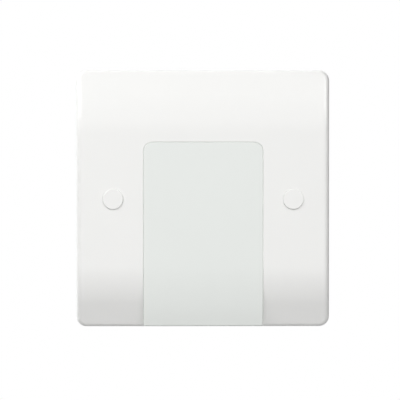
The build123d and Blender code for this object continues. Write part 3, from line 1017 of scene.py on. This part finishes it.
class CONNECTION_UNIT_OT_terminals(bpy.types.Operator):
    """Models the three brass terminal blocks with their cable tunnels and tapped holes"""

    bl_idname = "connection_unit.terminals"
    bl_label = "Terminals"

    def execute(self, context):
        shape = settings().terminal
        low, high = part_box("neutral_terminal")
        tunnel_y = low.y + shape.tunnel_rise
        middle_z = (low.z + high.z) / 2
        block = add_block(low, high)
        with editing(block):
            bevel(block, runs_back, shape.edge, 1)
        bottom, top = low.z - OVERCUT, high.z + OVERCUT
        cut(block, add_rod(shape.tunnel / 2, (0.0, tunnel_y, bottom), (0.0, tunnel_y, top)))
        for z in (middle_z - shape.spacing / 2, middle_z + shape.spacing / 2):
            drill(block, shape.thread / 2, 0.0, z, tunnel_y, high.y + OVERCUT)
        round_edges(block, shape.easing, EASING_STEPS, lambda edge: self.on_outside(edge, low, high))
        places = {f"{wire}_terminal": (centre_of(f"{wire}_terminal").x, 0.0, 0.0) for wire in WIRES}
        place_copies(block, "block", places)
        return {"FINISHED"}

    def on_outside(self, edge, low, high):
        """Whether an edge lies in an end or in the rear of the block."""
        return lies_at(edge, y=high.y) or lies_at(edge, z=high.z) or lies_at(edge, z=low.z)


class CONNECTION_UNIT_OT_clamp_inserts(bpy.types.Operator):
    """Models the two knurled brass inserts for the clamp screws"""

    bl_idname = "connection_unit.clamp_inserts"
    bl_label = "Clamp inserts"

    def execute(self, context):
        shape = settings().clamp
        low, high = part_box("clamp_insert_left")
        insert = add_rod((high.x - low.x) / 2, (0.0, low.y, 0.0), (0.0, high.y, 0.0))
        with editing(insert):
            pick(insert, "FACE", lambda face: abs(face.normal.y) < STEEP)
            bpy.ops.mesh.inset(thickness=shape.knurl / 2, depth=-shape.knurl, use_individual=True)
        drill(insert, shape.insert_bore / 2, 0.0, 0.0, low.y - OVERCUT, high.y + OVERCUT)
        places = {}
        for side in SIDES:
            place = centre_of(f"clamp_insert_{side}")
            places[f"clamp_insert_{side}"] = (place.x, 0.0, place.z)
        place_copies(insert, "knurled", places)
        return {"FINISHED"}


class CONNECTION_UNIT_OT_clamp_bar(bpy.types.Operator):
    """Models the clamp bar: rounded ends, a hump that presses on the cable and grooves across it"""

    bl_idname = "connection_unit.clamp_bar"
    bl_label = "Clamp bar"

    def execute(self, context):
        shape = settings().clamp
        low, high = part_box("clamp_bar")
        middle_z = (low.z + high.z) / 2
        half_hump = shape.hump_width / 2
        half_groove = shape.groove_width / 2
        bar = rounded_plate((low.x, high.y - shape.thickness, low.z), high, (high.z - low.z) / 2)
        join(bar, add_block((-half_hump, low.y, low.z), (half_hump, high.y - shape.thickness / 2, high.z)))
        round_edges(bar, shape.hump_edge, EDGE_STEPS, lambda edge: lies_at(edge, y=low.y))
        round_edges(bar, shape.easing, EASING_STEPS, lambda edge: lies_at(edge, y=high.y))
        for side in (-1, 1):
            z = middle_z + side * shape.groove_pitch / 2
            groove = add_block(
                (low.x, low.y - OVERCUT, z - half_groove),
                (high.x, low.y + shape.groove_depth, z + half_groove),
            )
            cut(bar, groove)
            drill(bar, shape.hole / 2, side * shape.centres / 2, middle_z, low.y, high.y + OVERCUT)
        finish_piece(bar, "clamp_bar_moulding", "clamp_bar")
        return {"FINISHED"}


class CONNECTION_UNIT_OT_terminal_base(bpy.types.Operator):
    """Models the terminal base: a floor with ears, a wall behind the cover, a trough, pillars and cells"""

    bl_idname = "connection_unit.terminal_base"
    bl_label = "Terminal base"

    def execute(self, context):
        shape = settings().base
        low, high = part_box("terminal_base")
        rear = -shape.setback
        front = rear - shape.floor
        rooted = (front + rear) / 2
        half = shape.width / 2
        base = rounded_plate((-half, front, low.z), (half, rear, high.z), shape.corner)
        self.add_ears(base, low, high, front, rear)
        self.add_support(base, front, rooted)
        self.add_trough(base, low, rear)
        self.add_pillars(base, low.y + shape.trough_floor / 2)
        self.add_cells(base, rooted, rear, high.y)
        round_edges(base, shape.easing, EASING_STEPS, lambda edge: lies_at(edge, y=high.y))
        for wire, letter in WIRES.items():
            self.add_letter(base, letter, centre_of(f"{wire}_terminal").x, rear)
        finish_piece(base, "base_moulding", "terminal_base")
        return {"FINISHED"}

    def add_ears(self, base, low, high, front, rear):
        """Adds two cross strips with round ends and a screw hole in each end."""
        shape = settings().base
        half_ear = shape.ear / 2
        for end in (-1, 1):
            z = end * settings().plate.boss_spacing / 2
            join(base, rounded_plate((low.x, front, z - half_ear), (high.x, rear, z + half_ear), half_ear))
            for x in (low.x + half_ear, high.x - half_ear):
                drill(base, shape.ear_hole / 2, x, z, front - OVERCUT, rear + OVERCUT)

    def add_support(self, base, front, rooted):
        """Adds the wall that stands behind the cover's flange."""
        cover = settings().cover
        plate = settings().plate
        support = settings().base.support
        flange_rear = PLATE_LOW.y + plate.wall + cover.flange
        half = cover.width / 2 + cover.lip - plate.slot_gap
        top = COVER_HIGH.z - plate.slot_gap
        bottom = -cover.flange_drop
        wall = tongue(half, bottom, top, flange_rear, rooted, cover.corner_radius)
        inside = tongue(
            half - support,
            bottom - OVERCUT,
            top - support,
            flange_rear - OVERCUT,
            front + TOUCH,
            cover.corner_radius - support,
        )
        cut(wall, inside)
        join(base, wall)

    def add_trough(self, base, low, rear):
        """Adds the cable trough and hollows it through the floor."""
        shape = settings().base
        cover = settings().cover
        half = cover.width / 2 - cover.wall - shape.trough_gap
        top = -shape.trough_drop
        inner = half - shape.trough_wall
        join(base, add_block((-half, low.y, low.z), (half, rear, top)))
        hollow = add_block(
            (-inner, low.y + shape.trough_floor, low.z - OVERCUT),
            (inner, rear + OVERCUT, top - shape.trough_wall),
        )
        cut(base, hollow)

    def add_pillars(self, base, rooted):
        """Adds the two clamp pillars with a pocket for the insert and a hole for the screw's tip."""
        shape = settings().base
        rear = -shape.pillar_setback
        for side in SIDES:
            place = centre_of(f"clamp_insert_{side}")
            x, z = place.x, place.z
            add_post(base, shape.pillar / 2, x, z, rooted, rear)
            drill(base, shape.insert_pocket / 2, x, z, rear - shape.insert_depth, rear + OVERCUT)
            drill(base, shape.tip_hole / 2, x, z, rear - shape.tip_depth, rear + OVERCUT)

    def add_cells(self, base, rooted, rear, wall_rear):
        """Adds the walls, end lips and snap ridges that hold the terminals."""
        shape = settings().base
        low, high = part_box("neutral_terminal")
        pitch = centre_of("earth_terminal").x - centre_of("neutral_terminal").x
        bottom = low.z - shape.cell_end
        top = high.z + shape.cell_end
        half_wall = shape.cell_wall / 2
        half_count = len(WIRES) / 2
        half_row = half_count * pitch
        lip_rear = rear + shape.lip_height
        for number in range(len(WIRES) + 1):
            x = (number - half_count) * pitch
            join(base, add_block((x - half_wall, rooted, bottom), (x + half_wall, wall_rear, top)))
        for lip_low in (bottom, top - shape.lip):
            join(base, add_block((-half_row, rooted, lip_low), (half_row, lip_rear, lip_low + shape.lip)))
        for cell in (-1, 0, 1):
            for side in (-1, 1):
                wall_x = cell * pitch + side * (pitch / 2 - half_wall)
                join(base, self.ridge(wall_x, side, high.y + shape.ridge_gap, (low.z + high.z) / 2))

    def ridge(self, wall_x, side, start, z):
        """Snap ridge on the inside of a cell's wall, tapered to the rear."""
        shape = settings().base
        tip_x = wall_x - side * shape.ridge_depth
        low_x, high_x = sorted((tip_x, wall_x + side * shape.cell_wall / 2))
        half = shape.ridge_length / 2
        end = start + shape.ridge_height
        ridge = add_block((low_x, start, z - half), (high_x, end, z + half))
        with editing(ridge):
            pick(ridge, "EDGE", lambda edge: lies_at(edge, x=tip_x, y=end))
            bpy.ops.transform.translate(value=(side * shape.ridge_depth, 0.0, 0.0))
        return ridge

    def add_letter(self, base, letter, x, rear):
        """Raises a letter on the rear of the floor, below a cell."""
        shape = settings().base
        deselect()
        bpy.ops.object.text_add(location=(x, rear, shape.letter_place), rotation=(pi / 2, 0.0, pi))
        text = bpy.context.object.data
        text.body = letter
        text.size = shape.letter_height
        text.extrude = shape.letter_raise
        text.align_x = "CENTER"
        text.align_y = "CENTER"
        bpy.ops.object.convert(target="MESH")
        mark = settle()
        with editing(mark):
            weld()
        join(base, mark)


# Stage


def direction(azimuth, elevation):
    """From the unit toward a place to the right of its front and above it."""
    return Vector((sin(azimuth) * cos(elevation), -cos(azimuth) * cos(elevation), sin(elevation)))


class CONNECTION_UNIT_OT_stage(bpy.types.Operator):
    """Sets up the camera, the light and the floor"""

    bl_idname = "connection_unit.stage"
    bl_label = "Stage"

    def execute(self, context):
        stage = settings().stage
        scene = context.scene
        scene.view_settings.view_transform = "Standard"
        scene.world = self.white_studio(stage.fill)
        for name, (azimuth, elevation, distance, size, setting) in LIGHTS.items():
            toward = direction(radians(azimuth), radians(elevation))
            self.add_light(name, toward, distance, size, getattr(stage, setting))

        bpy.ops.mesh.primitive_plane_add(size=stage.floor_size, location=(0.0, 0.0, -stage.floor_drop))
        floor = context.object
        floor.name = "floor"
        floor.data.materials.append(self.floor_paper())

        toward = direction(stage.camera_azimuth, stage.camera_elevation)
        aim = Vector((stage.aim_x, 0.0, stage.aim_z))
        bpy.ops.object.camera_add(
            location=aim + stage.camera_distance * toward, rotation=toward.to_track_quat("Z", "Y").to_euler()
        )
        camera = context.object
        camera.data.lens = camera.data.sensor_width * stage.camera_distance / stage.picture_width
        scene.camera = camera
        return {"FINISHED"}

    def white_studio(self, strength):
        """A world that the camera sees as white and that lights the unit a little from all round."""
        world = bpy.data.worlds.new("white_studio")
        world.use_nodes = True
        tree = world.node_tree
        tree.nodes.clear()
        out = add_node(tree, "ShaderNodeOutputWorld")
        seen = add_node(tree, "ShaderNodeBackground", Color=(1.0, 1.0, 1.0, 1.0), Strength=1.0)
        fill = add_node(tree, "ShaderNodeBackground", Color=(1.0, 1.0, 1.0, 1.0), Strength=strength)
        path = add_node(tree, "ShaderNodeLightPath")
        mix = add_node(tree, "ShaderNodeMixShader")
        tree.links.new(path.outputs["Is Camera Ray"], mix.inputs[0])
        tree.links.new(fill.outputs[0], mix.inputs[1])
        tree.links.new(seen.outputs[0], mix.inputs[2])
        tree.links.new(mix.outputs[0], out.inputs[0])
        return world

    def add_light(self, name, toward, distance, size, power):
        """Adds a round soft light that looks at the unit and that the camera doesn't see."""
        bpy.ops.object.light_add(type="AREA", location=distance * toward)
        light = bpy.context.object
        light.name = name
        light.data.shape = "DISK"
        light.data.size = size
        light.data.energy = power
        light.rotation_euler = toward.to_track_quat("Z", "Y").to_euler()
        light.visible_camera = False

    def floor_paper(self):
        """Pale paper that the camera sees a little brighter than the light on it makes it."""
        tones = settings().finishes
        paper = make_finish("floor_paper", tones.floor, *FLOOR_SURFACE)
        tree = paper.node_tree
        shader = tree.nodes["Principled BSDF"]
        shader.inputs["Emission Color"].default_value = (*tones.floor_glow, 1.0)
        path = add_node(tree, "ShaderNodeLightPath")
        tree.links.new(path.outputs["Is Camera Ray"], shader.inputs["Emission Strength"])
        return paper


OPERATORS = (
    CONNECTION_UNIT_OT_finishes,
    CONNECTION_UNIT_OT_front_plate,
    CONNECTION_UNIT_OT_cable_cover,
    CONNECTION_UNIT_OT_screw_caps,
    CONNECTION_UNIT_OT_fixing_screws,
    CONNECTION_UNIT_OT_terminal_screws,
    CONNECTION_UNIT_OT_clamp_screws,
    CONNECTION_UNIT_OT_base_screws,
    CONNECTION_UNIT_OT_terminals,
    CONNECTION_UNIT_OT_clamp_inserts,
    CONNECTION_UNIT_OT_clamp_bar,
    CONNECTION_UNIT_OT_terminal_base,
    CONNECTION_UNIT_OT_stage,
)
GROUPS = (
    PlateShape,
    CoverShape,
    CapShape,
    ScrewShapes,
    TerminalShape,
    ClampShape,
    BaseShape,
    StageSetup,
    Finishes,
    UnitSettings,
)


class CONNECTION_UNIT_PT_sidebar(bpy.types.Panel):
    """Lists the pieces of the connection unit"""

    bl_label = "Connection unit"
    bl_idname = "CONNECTION_UNIT_PT_sidebar"
    bl_space_type = "VIEW_3D"
    bl_region_type = "UI"
    bl_category = "Connection unit"

    def draw(self, context):
        for operator in OPERATORS:
            self.layout.operator(operator.bl_idname)


CLASSES = (*GROUPS, *OPERATORS, CONNECTION_UNIT_PT_sidebar)


def register():
    """Registers the settings, the operators and the panel."""
    for item in CLASSES:
        bpy.utils.register_class(item)
    bpy.types.Scene.connection_unit = PointerProperty(type=UnitSettings)


def unregister():
    """Takes them away again."""
    del bpy.types.Scene.connection_unit
    for item in reversed(CLASSES):
        bpy.utils.unregister_class(item)


def main():
    """Builds the unit."""
    register()
    bpy.ops.connection_unit.finishes()
    bpy.ops.connection_unit.front_plate()
    bpy.ops.connection_unit.cable_cover()
    bpy.ops.connection_unit.screw_caps()
    bpy.ops.connection_unit.fixing_screws()
    bpy.ops.connection_unit.terminal_screws()
    bpy.ops.connection_unit.clamp_screws()
    bpy.ops.connection_unit.base_screws()
    bpy.ops.connection_unit.terminals()
    bpy.ops.connection_unit.clamp_inserts()
    bpy.ops.connection_unit.clamp_bar()
    bpy.ops.connection_unit.terminal_base()
    bpy.ops.connection_unit.stage()


if __name__ == "__main__":
    main()
